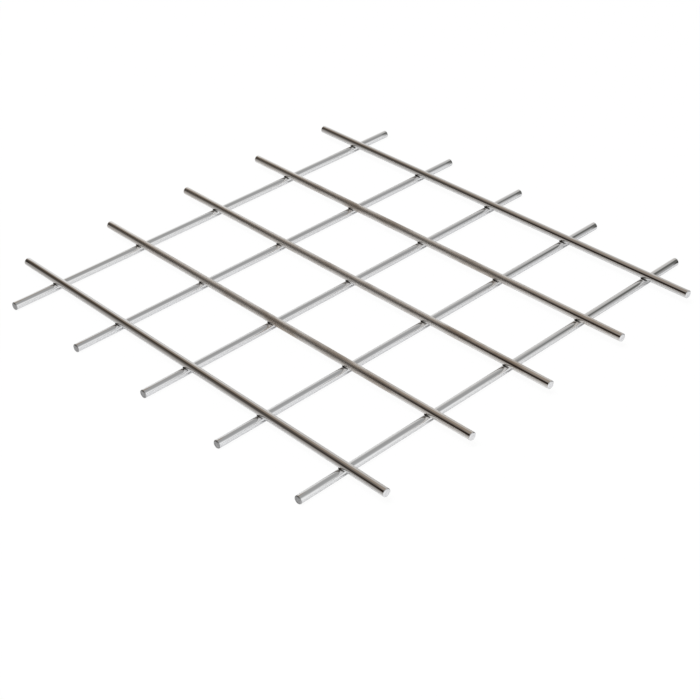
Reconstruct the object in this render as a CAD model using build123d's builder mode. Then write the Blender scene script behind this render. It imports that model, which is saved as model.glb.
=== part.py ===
"""A square panel of welded round-bar steel grating, lying flat. Millimetres, +Z up.

Five line bars lie across five cross bars, and each crossing is a resistance weld: the two bars
are pressed a little way into each other and a small sloping collar of upset metal runs round
the joint. The origin is on the floor, under the middle of the panel. The line bars run along X,
on top of the cross bars.
"""

import os

from build123d import *

# Line bars, the upper layer, along X
line_bar_diameter = 4.0
line_bar_count = 5
line_bar_pitch = 50.0
line_bar_overhang = 25.0

# Cross bars, the lower layer, along Y
cross_bar_diameter = 4.0
cross_bar_count = 5
cross_bar_pitch = 50.0
cross_bar_overhang = 25.0

# Welds: how far the bars are pressed into each other, and the collar round each joint
weld_set_down = 0.5
weld_collar = 0.4

# Cut ends, with the sharp edge taken off
end_chamfer = 0.3

line_bar_radius = line_bar_diameter / 2
cross_bar_radius = cross_bar_diameter / 2
line_bar_length = (cross_bar_count - 1) * cross_bar_pitch + 2 * line_bar_overhang
cross_bar_length = (line_bar_count - 1) * line_bar_pitch + 2 * cross_bar_overhang
cross_bar_height = cross_bar_radius
line_bar_height = cross_bar_diameter + line_bar_radius - weld_set_down


def is_weld_edge(edge):
    """The saddle curves where two bars meet, which are neither straight nor circles."""
    return edge.geom_type not in (GeomType.LINE, GeomType.CIRCLE)


with BuildPart() as grating_panel:
    with BuildSketch(Plane.XZ.offset(-cross_bar_length / 2)):
        with GridLocations(cross_bar_pitch, 1, cross_bar_count, 1):
            with Locations((0, cross_bar_height)):
                Circle(cross_bar_radius)
    extrude(amount=cross_bar_length)

    with BuildSketch(Plane.YZ.offset(-line_bar_length / 2)):
        with GridLocations(line_bar_pitch, 1, line_bar_count, 1):
            with Locations((0, line_bar_height)):
                Circle(line_bar_radius)
    extrude(amount=line_bar_length)

    end_faces = grating_panel.faces().filter_by(GeomType.PLANE)
    chamfer(end_faces.edges(), end_chamfer)

    weld_edges = grating_panel.edges().filter_by(is_weld_edge)
    chamfer(weld_edges, weld_collar)

grating_panel.part.label = "grating_panel"

os.makedirs("parts", exist_ok=True)
export_step(grating_panel.part, "parts/grating_panel.step")
print("panel", grating_panel.part.bounding_box().size, "volume", grating_panel.part.volume)
print("weld edges", len(weld_edges), "faces", len(grating_panel.faces()), "solids", len(grating_panel.solids()))
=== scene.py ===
from math import cos, pi, radians, sin

import bpy
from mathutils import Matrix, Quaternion, Vector


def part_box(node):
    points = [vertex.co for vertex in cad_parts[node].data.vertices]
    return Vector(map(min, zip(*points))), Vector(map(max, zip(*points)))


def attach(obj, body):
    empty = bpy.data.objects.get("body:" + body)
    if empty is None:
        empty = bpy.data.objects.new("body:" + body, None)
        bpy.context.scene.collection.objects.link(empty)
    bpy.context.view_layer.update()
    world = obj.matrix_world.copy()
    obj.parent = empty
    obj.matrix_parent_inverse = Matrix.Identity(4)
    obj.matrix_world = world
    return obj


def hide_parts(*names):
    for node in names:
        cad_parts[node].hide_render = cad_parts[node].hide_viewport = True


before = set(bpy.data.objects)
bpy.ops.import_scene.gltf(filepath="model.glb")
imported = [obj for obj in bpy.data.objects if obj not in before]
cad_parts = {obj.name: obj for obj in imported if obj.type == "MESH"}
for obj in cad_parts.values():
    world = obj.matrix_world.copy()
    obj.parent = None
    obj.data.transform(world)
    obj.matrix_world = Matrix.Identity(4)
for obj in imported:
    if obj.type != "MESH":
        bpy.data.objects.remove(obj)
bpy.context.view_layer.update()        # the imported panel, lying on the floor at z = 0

low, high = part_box("grating_panel")

# the welded panel as a whole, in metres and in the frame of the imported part
panel = {
    "node": "grating_panel",
    "slot": "bright_steel",
    "bars": 5,                                # in each of the two layers
    "pitch": 0.050,
    "barRadius": 0.002,
    "length": high.x - low.x,
    "lineBarHeight": 0.0055,                  # the upper layer's axis, along X
    "crossBarHeight": 0.002,                  # the lower layer's axis, along Y
    "weldHeight": 0.00375,                    # the middle of the joint between the layers
}


def barPlaces():
    first = -(panel["bars"] - 1) / 2 * panel["pitch"]
    return [first + number * panel["pitch"] for number in range(panel["bars"])]


# ---- shader maths


class Wire:
    # a socket that adds Math nodes when it is used in sums
    def __init__(self, tree, socket=None):
        self.tree = tree
        self.socket = socket

    def node(self, kind, settings=None, values=None, out=0):
        # settings are the node's own, values go to its inputs, and out is the output that is used
        made = self.tree.nodes.new(kind)
        for name, value in (settings or {}).items():
            setattr(made, name, value)
        for name, value in (values or {}).items():
            if isinstance(value, Wire):
                self.tree.links.new(value.socket, made.inputs[name])
            else:
                made.inputs[name].default_value = value
        return Wire(self.tree, made.outputs[out]) if len(made.outputs) else None

    def math(self, operation, first, second=0.0):
        return self.node("ShaderNodeMath", {"operation": operation}, {0: first, 1: second})

    def __add__(self, other):
        return self.math("ADD", self, other)

    def __sub__(self, other):
        return self.math("SUBTRACT", self, other)

    def __rsub__(self, other):
        return self.math("SUBTRACT", other, self)

    def __mul__(self, other):
        return self.math("MULTIPLY", self, other)

    __radd__ = __add__
    __rmul__ = __mul__

    def between(self, start, end):
        # 0 below start, 1 above end, smooth in between
        return self.node("ShaderNodeMapRange", {"interpolation_type": "SMOOTHSTEP"},
                         {"Value": self, "From Min": start, "From Max": end})

    def mixColour(self, first, second):
        # this wire is how much of the second colour shows; 6, 7 and 2 are the node's colour sockets
        return self.node("ShaderNodeMix", {"data_type": "RGBA"}, {0: self, 6: first, 7: second}, out=2)

    def noise(self, place, size, detail=2.0, stretch=(1, 1, 1)):
        # size and stretch are in metres: how large a patch is, and how many times longer on each axis
        scale = [1 / (size * times) for times in stretch]
        moved = self.node("ShaderNodeMapping", {}, {"Vector": place, "Scale": scale})
        return self.node("ShaderNodeTexNoise", {}, {"Vector": moved, "Scale": 1.0, "Detail": detail})


def newMaterial(name):
    made = bpy.data.materials.new(name)
    made.use_nodes = True
    made.node_tree.nodes.clear()
    return made, Wire(made.node_tree)


def finishMetal(wire, colour, roughness, height, depth):
    bump = wire.node("ShaderNodeBump", {}, {"Strength": 1.0, "Distance": depth, "Height": height})
    shader = wire.node("ShaderNodeBsdfPrincipled", {}, {
        "Base Color": colour, "Metallic": 1.0, "Roughness": roughness, "Normal": bump})
    wire.node("ShaderNodeOutputMaterial", {}, {"Surface": shader})


# ---- bright drawn steel, polished along the bar

drawnSteel = {
    "stainSize": 0.0045,
    "stainStretch": 5.0,                      # stains are longer along the bar
    "stainEdges": (0.40, 0.62),               # of the noise, where a stain starts and is full
    "patchSize": 0.013,                       # where the stains gather
    "patchStretch": 2.5,
    "patchEdges": (0.36, 0.60),
    "patchShare": 0.7,                        # how much weaker a stain is outside them
    "lineSize": 0.00022,                      # die lines, across the bar
    "lineStretch": 120.0,
    "stainColour": 0.8,                       # shares of the stained colour
    "lineColour": 0.2,
    "stainRoughness": 0.5,                    # shares of the spread in roughness
    "lineRoughness": 0.5,
    "waveSize": 0.0045,                       # the bar's slight unevenness
    "waveStretch": 3.0,
    "waveHeight": 12.0,                       # against the die lines
    "depth": 0.0000012,                       # of the relief
    "smoothFrom": 0.030,                      # from the middle of the bar towards its ends
    "smoothFull": 0.115,
    "smoothNear": 0.55,                       # how much of the roughness is gone at the low end
    "smoothFar": 0.80,                        # and at the high end
}

# the outer bars of each layer are bright, the inner ones have been handled and are duller
barFinishes = {
    "line_bar_bright": {
        "clean": (0.765, 0.76, 0.755, 1),
        "stain": (0.735, 0.73, 0.72, 1),
        "roughness": 0.05,
        "roughnessSpread": 0.04,
    },
    "line_bar_dull": {
        "clean": (0.84, 0.83, 0.815, 1),
        "stain": (0.50, 0.44, 0.38, 1),
        "roughness": 0.30,
        "roughnessSpread": 0.30,
    },
    "cross_bar_bright": {
        "clean": (0.81, 0.815, 0.82, 1),
        "stain": (0.78, 0.78, 0.78, 1),
        "roughness": 0.04,
        "roughnessSpread": 0.03,
    },
    "cross_bar_dull": {
        "clean": (0.81, 0.815, 0.825, 1),
        "stain": (0.77, 0.77, 0.775, 1),
        "roughness": 0.07,
        "roughnessSpread": 0.06,
    },
}


def makeDrawnSteel(name, along):
    made, wire = newMaterial(name)
    steel = drawnSteel
    finish = barFinishes[name]
    place = wire.node("ShaderNodeTexCoord", out="Object")
    reach = wire.node("ShaderNodeSeparateXYZ", {}, {0: place}, out="XYZ".index(along))

    def stretched(times):
        return [times if axis == along else 1 for axis in "XYZ"]

    stains = wire.noise(place, steel["stainSize"], 4, stretched(steel["stainStretch"]))
    patches = wire.noise(place, steel["patchSize"], 2, stretched(steel["patchStretch"]))
    gathered = patches.between(*steel["patchEdges"]) * steel["patchShare"] + (1 - steel["patchShare"])
    stains = stains.between(*steel["stainEdges"]) * gathered
    lines = wire.noise(place, steel["lineSize"], 2, stretched(steel["lineStretch"]))
    waves = wire.noise(place, steel["waveSize"], 1, stretched(steel["waveStretch"]))
    near = (reach * -1).between(steel["smoothFrom"], steel["smoothFull"]) * steel["smoothNear"]
    far = reach.between(steel["smoothFrom"], steel["smoothFull"]) * steel["smoothFar"]
    stained = stains * (steel["stainColour"] - near) + lines * steel["lineColour"]
    colour = stained.mixColour(finish["clean"], finish["stain"])
    spread = stains * steel["stainRoughness"] + lines * steel["lineRoughness"]
    rough = (spread * finish["roughnessSpread"] + finish["roughness"]) * (1 - (near + far))
    height = lines + waves * steel["waveHeight"]
    finishMetal(wire, colour, rough, height, steel["depth"])
    return made


# ---- the sawn and lightly ground bar ends, whose colours hold painted light and painted shade

endPaintedLightAndShade = {
    # the line bars' cut ends are painted near white, lighter than the bars' own steel: painted light
    "line_bar_end": {
        "bright": (0.92, 0.92, 0.93, 1),
        "dark": (0.80, 0.80, 0.80, 1),
    },
    # the cross bars' cut ends are the same sawn steel painted much darker: painted shade
    "cross_bar_end": {
        "bright": (0.42, 0.42, 0.42, 1),
        "dark": (0.28, 0.28, 0.28, 1),
    },
}

cutSteel = {
    "grainSize": 0.0002,
    "grainStretch": 14.0,                     # saw marks, along Z
    "grainEdges": (0.35, 0.70),
    "roughness": 0.34,
    "roughnessSpread": 0.14,
    "depth": 0.000012,
}


def makeCutSteel(name):
    made, wire = newMaterial(name)
    cut = cutSteel
    finish = endPaintedLightAndShade[name]
    place = wire.node("ShaderNodeTexCoord", out="Object")
    marks = wire.noise(place, cut["grainSize"], 3, (1, 1, cut["grainStretch"]))
    colour = marks.between(*cut["grainEdges"]).mixColour(finish["bright"], finish["dark"])
    rough = marks * cut["roughnessSpread"] + cut["roughness"]
    finishMetal(wire, colour, rough, marks, cut["depth"])
    return made


# ---- the metal squeezed out at a weld, painted near black as the shade in the notch between the bars

weldPaintedShade = {
    # both tones are near black: painted shade in the wedge where the two layers of bars meet
    "bright": (0.11, 0.105, 0.10, 1),
    "dark": (0.025, 0.024, 0.022, 1),
    "grainSize": 0.0006,
    "grainEdges": (0.40, 0.70),
    "roughness": 0.28,
    "roughnessSpread": 0.20,
    "depth": 0.000006,
}


def makeWeldPaintedShade():
    made, wire = newMaterial("weldPaintedShade")
    steel = weldPaintedShade
    place = wire.node("ShaderNodeTexCoord", out="Object")
    grain = wire.noise(place, steel["grainSize"], 3)
    colour = grain.between(*steel["grainEdges"]).mixColour(steel["bright"], steel["dark"])
    rough = grain * steel["roughnessSpread"] + steel["roughness"]
    finishMetal(wire, colour, rough, grain, steel["depth"])
    return made


# ---- picking and placing


def clearSelection():
    bpy.ops.object.select_all(action="DESELECT")


def pick(piece, kind, wanted):
    # goes to edit mode with only the faces, edges or vertices selected that wanted() says yes to
    bpy.ops.object.mode_set(mode="EDIT")
    bpy.ops.mesh.select_mode(type=kind)
    bpy.ops.mesh.select_all(action="DESELECT")
    bpy.ops.object.mode_set(mode="OBJECT")
    items = {"FACE": piece.data.polygons, "EDGE": piece.data.edges, "VERT": piece.data.vertices}[kind]
    for item in items:
        item.select = wanted(item)
    bpy.ops.object.mode_set(mode="EDIT")


def settle(piece, place, turn=(0, 0, 0)):
    # puts a piece that was modelled at the origin in its place, and keeps that place in its mesh
    clearSelection()
    piece.select_set(True)
    bpy.context.view_layer.objects.active = piece
    piece.location = place
    piece.rotation_euler = turn
    bpy.ops.object.transform_apply(location=True, rotation=True, scale=True)


def copyPiece(piece, name):
    clearSelection()
    piece.select_set(True)
    bpy.context.view_layer.objects.active = piece
    bpy.ops.object.duplicate(linked=False)
    copied = bpy.context.object
    copied.name = name
    return copied


def handOver(piece):
    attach(piece, "root")
    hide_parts(panel["node"])


# ---- round bars, each modelled upright at the origin and then laid down

bar = {
    "sides": 72,
    "ringSpacing": 0.005,
    "edgeBreak": 0.0005,                      # the worn edge round each cut end
    "edgeSteps": 5,
    "faceRings": [(0.0004, 0.00002), (0.0005, 0.00003)],     # how far in, and how deep the saw left it
    "hair": 0.000001,                         # finds the faces and edges that lie on the cut
    "smoothAngle": 40,                        # degrees
}


def makeBar(name, cut):
    clearSelection()
    half = panel["length"] / 2
    radius = panel["barRadius"]
    bpy.ops.mesh.primitive_cylinder_add(vertices=bar["sides"], radius=radius, depth=panel["length"])
    piece = bpy.context.object
    piece.name = name
    mesh = piece.data

    def isLong(edge):
        ends = [mesh.vertices[corner].co for corner in edge.vertices]
        return abs(ends[0].z - ends[1].z) > half

    def isRim(edge):
        ends = [mesh.vertices[corner].co for corner in edge.vertices]
        return all(abs(end.z) > half - bar["hair"] for end in ends)

    def isFlat(face):
        return abs(face.center.z) > half - bar["hair"]

    def isCut(face):
        return abs(face.center.z) > half - bar["edgeBreak"]

    pick(piece, "EDGE", isLong)
    bpy.ops.mesh.subdivide(number_cuts=round(panel["length"] / bar["ringSpacing"]) - 1)
    pick(piece, "EDGE", isRim)
    bpy.ops.mesh.bevel(offset=bar["edgeBreak"], segments=bar["edgeSteps"], profile=0.5, affect="EDGES")
    pick(piece, "FACE", isFlat)
    for width, depth in bar["faceRings"]:
        bpy.ops.mesh.inset(thickness=width, depth=-depth, use_individual=False)
    bpy.ops.mesh.poke()

    mesh.materials.append(None)               # the drawn finish, chosen bar by bar
    mesh.materials.append(cut)
    pick(piece, "FACE", isCut)
    piece.active_material_index = 1
    bpy.ops.object.material_slot_assign()
    bpy.ops.object.mode_set(mode="OBJECT")
    bpy.ops.object.shade_smooth_by_angle(angle=radians(bar["smoothAngle"]))
    return piece


def makeLayer(layer, along, turn, placeOf):
    pattern = makeBar(layer, makeCutSteel(f"{layer}_end"))
    bright = makeDrawnSteel(f"{layer}_bright", along)
    dull = makeDrawnSteel(f"{layer}_dull", along)
    for number, across in enumerate(barPlaces(), 1):
        piece = copyPiece(pattern, f"{layer}_{number}")
        piece.data.materials[0] = bright if number in (1, panel["bars"]) else dull
        settle(piece, placeOf(across), turn)
        handOver(piece)
    bpy.data.objects.remove(pattern)
    print(f"{layer}: {panel['bars']} bars")


# ---- welds: a bead of upset metal in the wedge all round each joint

weld = {
    "ringRadius": 0.00156,
    "beadRadius": 0.00050,
    "saddle": 0.00034,                        # down over the cross bar's flanks, up into the line bar's
    "reach": 0.0019,                          # how far each push spreads round the ring
    "ringSides": 64,
    "beadSides": 20,
    "pickShare": 1.1,                         # of half a side, each way, for the vertices pushed
    "unevenness": 0.00005,
    "unevenUniform": 0.3,                     # shares of it: even, and along the normal
    "unevenNormal": 0.7,
    "softening": 0.5,
    "softeningRounds": 2,
    "seed": 7,
    "turns": [0, 1, 1, 0, 1, 0, 0],           # half turns, so that neighbours differ
}


def makeWeld(steel):
    clearSelection()
    bpy.ops.mesh.primitive_torus_add(major_radius=weld["ringRadius"], minor_radius=weld["beadRadius"],
                                     major_segments=weld["ringSides"], minor_segments=weld["beadSides"])
    piece = bpy.context.object
    piece.name = "weld"
    edge = weld["ringRadius"] * sin(pi / weld["ringSides"]) * weld["pickShare"]
    for across, push in ((1, -weld["saddle"]), (0, weld["saddle"])):
        pick(piece, "VERT", lambda corner: abs(corner.co[across]) < edge)
        bpy.ops.transform.translate(value=(0, 0, push), use_proportional_edit=True,
                                    proportional_size=weld["reach"], proportional_edit_falloff="SMOOTH")
    bpy.ops.mesh.select_all(action="SELECT")
    bpy.ops.transform.vertex_random(offset=weld["unevenness"], uniform=weld["unevenUniform"],
                                    normal=weld["unevenNormal"], seed=weld["seed"])
    bpy.ops.mesh.vertices_smooth(factor=weld["softening"], repeat=weld["softeningRounds"])
    bpy.ops.object.mode_set(mode="OBJECT")
    piece.data.materials.append(steel)
    bpy.ops.object.shade_smooth()
    return piece


def makeWelds(steel):
    pattern = makeWeld(steel)
    for row, y in enumerate(barPlaces(), 1):
        joints = []
        for column, x in enumerate(barPlaces()):
            piece = copyPiece(pattern, f"weld_{row}_{column}")
            half = weld["turns"][(row * panel["bars"] + column) % len(weld["turns"])]
            settle(piece, (x, y, panel["weldHeight"]), (0, 0, half * pi))
            joints.append(piece)
        clearSelection()
        for piece in joints:
            piece.select_set(True)
        bpy.context.view_layer.objects.active = joints[0]
        bpy.ops.object.join()
        joints[0].name = f"welds_under_line_bar_{row}"
        handOver(joints[0])
    bpy.data.objects.remove(pattern)
    print(f"welds: {panel['bars'] ** 2}")


# ---- the studio: what the metal mirrors, an overhead lamp, and a white floor

studio = {
    "white": (1.0, 1.0, 1.0, 1),
    "fill": 0.55,                             # the light that a matt surface gets from all round
    "ceiling": (0.40, 0.40, 0.395, 1),
    "ceilingFrom": 20,                        # degrees up, where the ceiling starts to show
    "ceilingFull": 55,
}

# soft cards round the panel, in degrees: azimuth from +X towards +Y, elevation, full out to, gone at
cards = {
    "floorLevel": (0, -90, 45, 100, (0.84, 0.84, 0.85, 1)),
    "frontLeft": (225, 5, 5, 90, (0.42, 0.40, 0.38, 1)),
    "rightWall": (60, 30, 10, 35, (0.40, 0.40, 0.40, 1)),
    "rightGap": (70, 0, 15, 35, (0.02, 0.015, 0.01, 1)),
    "warmCeiling": (175, 55, 20, 30, (0.38, 0.32, 0.27, 1)),
    "skylight": (115, 20, 5, 40, (0.61, 0.58, 0.55, 1)),
    "rightFlag": (75, 25, 18, 25, (0.15, 0.15, 0.14, 1)),
    "sideFlag": (200, 35, 8, 28, (0.07, 0.055, 0.04, 1)),
    "leftFlag": (210, 15, 5, 15, (0.01, 0.01, 0.01, 1)),
    "frontFlag": (245, 30, 10, 40, (0.02, 0.01, 0.005, 1)),
}


def towards(azimuth, elevation):
    level = cos(radians(elevation))
    return Vector((cos(radians(azimuth)) * level, sin(radians(azimuth)) * level, sin(radians(elevation))))


def makeWorld():
    world = bpy.data.worlds.new("studio")
    bpy.context.scene.world = world
    world.use_nodes = True
    world.node_tree.nodes.clear()
    wire = Wire(world.node_tree)
    direction = wire.node("ShaderNodeTexCoord", out="Generated")

    def angleTo(azimuth, elevation):
        nearness = wire.node("ShaderNodeVectorMath", {"operation": "DOT_PRODUCT"},
                             {0: direction, 1: towards(azimuth, elevation)}, out="Value")
        return wire.math("ARCCOSINE", nearness)

    ceilingEdges = radians(90 - studio["ceilingFull"]), radians(90 - studio["ceilingFrom"])
    ceiling = 1 - angleTo(0, 90).between(*ceilingEdges)
    mirrored = ceiling.mixColour(studio["white"], studio["ceiling"])
    for azimuth, elevation, full, gone, colour in cards.values():
        shown = 1 - angleTo(azimuth, elevation).between(radians(full), radians(gone))
        mirrored = shown.mixColour(mirrored, colour)

    isCamera = wire.node("ShaderNodeLightPath", out="Is Camera Ray")
    isGlossy = wire.node("ShaderNodeLightPath", out="Is Glossy Ray")
    isTransmission = wire.node("ShaderNodeLightPath", out="Is Transmission Ray")
    backdrop = isCamera.mixColour(mirrored, studio["white"])
    fill = wire.node("ShaderNodeBackground", {}, {"Color": studio["white"], "Strength": studio["fill"]})
    seen = wire.node("ShaderNodeBackground", {}, {"Color": backdrop, "Strength": 1.0})
    share = wire.math("MINIMUM", isCamera + isGlossy + isTransmission, 1.0)
    both = wire.node("ShaderNodeMixShader", {}, {0: share, 1: fill, 2: seen})
    wire.node("ShaderNodeOutputWorld", {}, {"Surface": both})
    print(f"world: {len(cards)} cards")


lamp = {
    "azimuth": 265,                           # degrees from +X towards +Y
    "elevation": 70,
    "distance": 4.5,
    "size": 2.4,
    "power": 140,
}


def makeLamp():
    data = bpy.data.lights.new("softLamp", "AREA")
    data.shape = "DISK"
    data.size = lamp["size"]
    data.energy = lamp["power"]
    made = bpy.data.objects.new("softLamp", data)
    toLamp = towards(lamp["azimuth"], lamp["elevation"])
    made.location = toLamp * lamp["distance"]
    made.rotation_mode = "QUATERNION"
    made.rotation_quaternion = (-toLamp).to_track_quat("-Z", "Y")
    made.visible_glossy = False               # the metal mirrors the studio's cards instead
    bpy.context.scene.collection.objects.link(made)
    print("lamp: one large soft lamp")


floor = {
    "size": 8.0,
    "paint": (0.93, 0.93, 0.93, 1),
    "whiteShare": 0.95,                       # the rest keeps the panel's soft shadow
    "mirroredPaint": (0.74, 0.74, 0.745, 1),
    "mirroredFrom": (0.0008, 0.0024),         # metres along a mirrored ray: the floor comes in,
    "mirroredTo": (0.004, 0.011),             # and has given way to the studio's cards
}


def makeFloor():
    clearSelection()
    bpy.ops.mesh.primitive_plane_add(size=floor["size"])
    piece = bpy.context.object
    piece.name = "floor"
    made, wire = newMaterial("floorPaint")
    isCamera = wire.node("ShaderNodeLightPath", out="Is Camera Ray")
    isGlossy = wire.node("ShaderNodeLightPath", out="Is Glossy Ray")
    rayLength = wire.node("ShaderNodeLightPath", out="Ray Length")
    lit = wire.node("ShaderNodeBsdfDiffuse", {}, {"Color": floor["paint"]})
    mirrored = wire.node("ShaderNodeBsdfDiffuse", {}, {"Color": floor["mirroredPaint"]})
    paint = wire.node("ShaderNodeMixShader", {}, {0: isGlossy, 1: lit, 2: mirrored})
    glow = wire.node("ShaderNodeEmission", {}, {"Color": studio["white"], "Strength": 1.0})
    both = wire.node("ShaderNodeMixShader", {}, {0: isCamera * floor["whiteShare"], 1: paint, 2: glow})
    near = rayLength.between(*floor["mirroredFrom"]) - rayLength.between(*floor["mirroredTo"])
    beyond = isGlossy * (1 - near)
    clear = wire.node("ShaderNodeBsdfTransparent")
    surface = wire.node("ShaderNodeMixShader", {}, {0: beyond, 1: both, 2: clear})
    wire.node("ShaderNodeOutputMaterial", {}, {"Surface": surface})
    piece.data.materials.append(made)
    print("floor: white")


# ---- the camera, as the photograph was taken

view = {
    "place": (0.4390, -0.4120, 0.3830),
    "aim": (0.03826, -0.03671, 0.0),
    "roll": -1.50,                            # degrees, the right side a little low
    "sensor": 36.0,
    "lens": 75.94,
    "nearest": 0.01,
    "furthest": 50,
}


def makeCamera():
    data = bpy.data.cameras.new("camera")
    data.sensor_width = view["sensor"]
    data.lens = view["lens"]
    data.clip_start = view["nearest"]
    data.clip_end = view["furthest"]
    made = bpy.data.objects.new("camera", data)
    bpy.context.scene.collection.objects.link(made)
    looking = Vector(view["aim"]) - Vector(view["place"])
    made.location = view["place"]
    made.rotation_mode = "QUATERNION"
    level = looking.to_track_quat("-Z", "Y")
    made.rotation_quaternion = level @ Quaternion((0, 0, 1), radians(view["roll"]))
    bpy.context.scene.camera = made
    print("camera: set")


makeCamera()
makeWorld()
makeLamp()
makeFloor()
makeLayer("line_bar", "X", (0, pi / 2, 0), lambda y: (0, y, panel["lineBarHeight"]))
makeLayer("cross_bar", "Y", (pi / 2, 0, 0), lambda x: (x, 0, panel["crossBarHeight"]))
makeWelds(makeWeldPaintedShade())

bpy.context.scene.view_settings.view_transform = "Standard"
